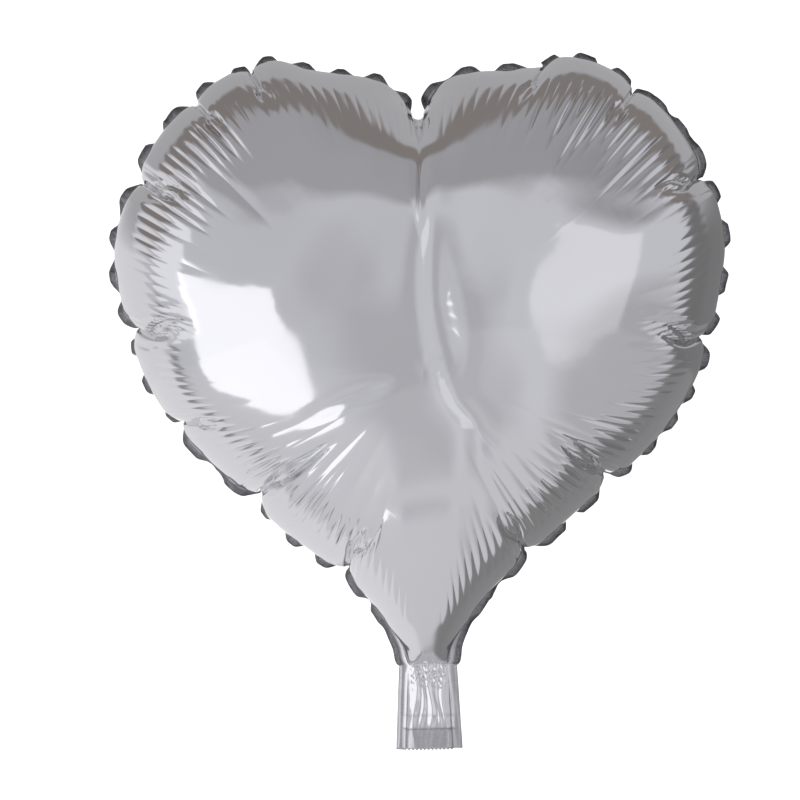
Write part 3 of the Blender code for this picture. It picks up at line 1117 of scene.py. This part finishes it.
# The pale room as the balloon mirrors it. Each colour fades in over the ones before it as
# the direction from the balloon goes, along every axis named, from the first value to the second.
LOW, HIGH = ("Z", 0.3, 0.1), ("Z", 0.1, 0.3)
LEFT, RIGHT = ("X", 0.1, -0.15), ("X", -0.15, 0.1)
ROOM_LEFT, ROOM_RIGHT = (0.60, 0.60, 0.63), (0.65, 0.65, 0.68)
ROOM = (
    ((0.38, 0.38, 0.39), ("Z", 0.60, 0.74)),  # overhead
    ((0.41, 0.41, 0.42), ("Z", 0.46, 0.60), ("X", 0.15, -0.15)),
    ((0.64, 0.64, 0.66), ("Z", -0.35, -0.60)),  # below
    ((0.47, 0.47, 0.48), ("X", 0.45, 0.70), ("Z", -0.05, -0.25)),
    ((0.31, 0.31, 0.315), ("Z", 0.42, 0.60), ("X", 0.45, 0.65)),
    # Round the camera
    (
        (0.50, 0.50, 0.52),
        ("X", -0.32, -0.12),
        ("X", 0.32, 0.12),
        ("Z", 0.35, 0.10),
        ("Z", -0.75, -0.5),
        ("Y", 0, -0.2),
    ),
    # Level with the balloon and behind it: dark on the right, brownish high up, pale on the left
    ((0.19, 0.19, 0.185), ("Y", 0.12, 0.17), RIGHT),
    ((0.27, 0.27, 0.28), ("Y", 0.02, 0.08), LEFT, ("Z", -0.12, -0.30), ("Z", -0.65, -0.45)),
    ((0.78, 0.78, 0.79), ("Y", 0.17, 0.23), LEFT, LOW),
    ((0.25, 0.225, 0.21), ("Y", -0.05, 0.03), ("Z", 0.34, 0.50)),
    ((0.45, 0.445, 0.45), ("Y", 0.36, 0.46), HIGH),
    ((0.21, 0.21, 0.21), ("Y", 0.40, 0.60), RIGHT, LOW),
)


def add_lamp(name, place, size, radiance):
    """A soft rectangular lamp that looks at the balloon."""
    data = bpy.data.lights.new(name, "AREA")
    data.shape = "RECTANGLE"
    data.size, data.size_y = size
    data.energy = radiance * size[0] * size[1]
    lamp = bpy.data.objects.new(name, data)
    lamp.location = place
    lamp.rotation_euler = (Vector(STAGE_CENTRE) - Vector(place)).to_track_quat("-Z", "Y").to_euler()
    bpy.context.scene.collection.objects.link(lamp)


def strip_of_paper(name, profile, half_width):
    """A sheet of studio paper that follows a profile of (y, z) points."""
    bpy.ops.object.select_all(action="DESELECT")
    bpy.ops.mesh.primitive_plane_add(size=1, location=(0, 0, 0))
    paper = bpy.context.object
    paper.name = name
    mesh = bmesh.new()
    rows = [[mesh.verts.new((x, y, z)) for x in (-half_width, half_width)] for y, z in profile]
    for a, b in zip(rows, rows[1:]):
        mesh.faces.new((a[0], a[1], b[1], b[0]))
    mesh.to_mesh(paper.data)
    mesh.free()
    paper.data.shade_smooth()
    return paper


def paper_material(name, colour, darker, glow, glow_colour):
    """Matt studio paper, lit a little from within: the wall evenly, to stay pale without hard lamps, the
    floor with painted light.
    """
    made, tree, shade = new_material(name)
    place = tree.place()
    tint = [darker * c for c in colour[:3]] + [1]
    shade(
        Base_Color=tree.mix(tree.noise(place, 60), colour, tint),
        Roughness=0.9,
        Emission_Color=glow_colour(tree, place),
        Emission_Strength=glow,
    )
    return made


def room_colour(tree, direction):
    """The room's colour in a direction from the balloon."""
    axes = tree.axes(direction)
    colour = tree.mix(tree.remap(axes["X"], -0.4, 0.3), (*ROOM_LEFT, 1), (*ROOM_RIGHT, 1))
    for over, *fades in ROOM:
        shares = [tree.remap(axes[axis], start, end) for axis, start, end in fades]
        share = tree.math("MULTIPLY", *shares) if len(shares) > 1 else shares[0]
        colour = tree.mix(share, colour, (*over, 1))
    return colour


def floor_painted_light(tree, place):
    """Painted light for the floor: the room's colour in the direction of a point of the floor, with a darker
    band round under the balloon as a painted shadow.
    """
    from_balloon = tree.node("VectorMath")
    from_balloon.operation = "SUBTRACT"
    tree.feed(from_balloon.inputs[0], place)
    tree.feed(from_balloon.inputs[1], (0, 0, CREASE_CENTRE))
    direction = tree.node("VectorMath")
    direction.operation = "NORMALIZE"
    tree.feed(direction.inputs[0], from_balloon.outputs[0])
    return room_colour(tree, direction.outputs[0])


class BALLOON_OT_stage(bpy.types.Operator):
    """Set up the pale studio, its lights and the camera"""

    bl_idname = "balloon.stage"
    bl_label = "Studio"

    def execute(self, context):
        pale = tuple(context.scene.balloon.backdrop_colour)
        ends = [(FLOOR_FRONT, FLOOR), (WALL_DISTANCE, FLOOR)]
        floor = strip_of_paper("studio_floor", ends, FLOOR_HALF_WIDTH)
        grey = (FLOOR_GREY, FLOOR_GREY, FLOOR_GREY, 1)
        # The floor glows with painted light: the room's colours as the balloon mirrors them, and a darker
        # band round under it as a painted shadow.
        floor.data.materials.append(paper_material("floor_paper", grey, 0.97, 0.94, floor_painted_light))
        profile = []
        for step in range(13):
            turn = math.pi / 2 * step / 12
            back, up = WALL_BEND * (1 - math.sin(turn)), WALL_BEND * (1 - math.cos(turn))
            profile.append((WALL_DISTANCE - back, FLOOR + 0.002 + up))
        wall = strip_of_paper("studio_wall", [*profile, (WALL_DISTANCE, WALL_TOP)], WALL_HALF_WIDTH)
        wall.data.materials.append(paper_material("wall_paper", pale, 0.985, 0.85, lambda tree, place: pale))

        for lamp in LAMPS:
            add_lamp(*lamp)
        world = bpy.data.worlds.new("studio")
        tree = NodeTree(world)
        direction = tree.node("TexCoord").outputs["Generated"]
        tree.feed(tree.nodes["Background"].inputs["Color"], room_colour(tree, direction))
        context.scene.world = world

        data = bpy.data.cameras.new("camera")
        data.lens = 150
        data.sensor_width = 36
        camera = bpy.data.objects.new("camera", data)
        camera.location = (CAMERA_AIM[0], -CAMERA_DISTANCE, CAMERA_AIM[1])
        camera.rotation_euler = (math.pi / 2, CAMERA_ROLL, 0)
        context.scene.collection.objects.link(camera)
        context.scene.camera = camera
        context.scene.view_settings.view_transform = "Standard"
        return {"FINISHED"}


class BALLOON_PT_panel(bpy.types.Panel):
    """Buttons that build the balloon"""

    bl_label = "Foil balloon"
    bl_idname = "BALLOON_PT_panel"
    bl_space_type = "VIEW_3D"
    bl_region_type = "UI"
    bl_category = "Balloon"

    def draw(self, context):
        column = self.layout.column()
        settings = context.scene.balloon
        for name in BalloonSettings.__annotations__:
            column.prop(settings, name)
        for operator in (BALLOON_OT_skin, BALLOON_OT_valve, BALLOON_OT_stage):
            column.operator(operator.bl_idname)


CLASSES = (
    BalloonSettings,
    BALLOON_OT_skin,
    BALLOON_OT_valve,
    BALLOON_OT_stage,
    BALLOON_PT_panel,
)


def register():
    for cls in CLASSES:
        bpy.utils.register_class(cls)
    bpy.types.Scene.balloon = PointerProperty(type=BalloonSettings)


def unregister():
    del bpy.types.Scene.balloon
    for cls in reversed(CLASSES):
        bpy.utils.unregister_class(cls)


def main():
    register()
    bpy.ops.balloon.skin()
    bpy.ops.balloon.valve()
    bpy.ops.balloon.stage()


if __name__ == "__main__":
    main()
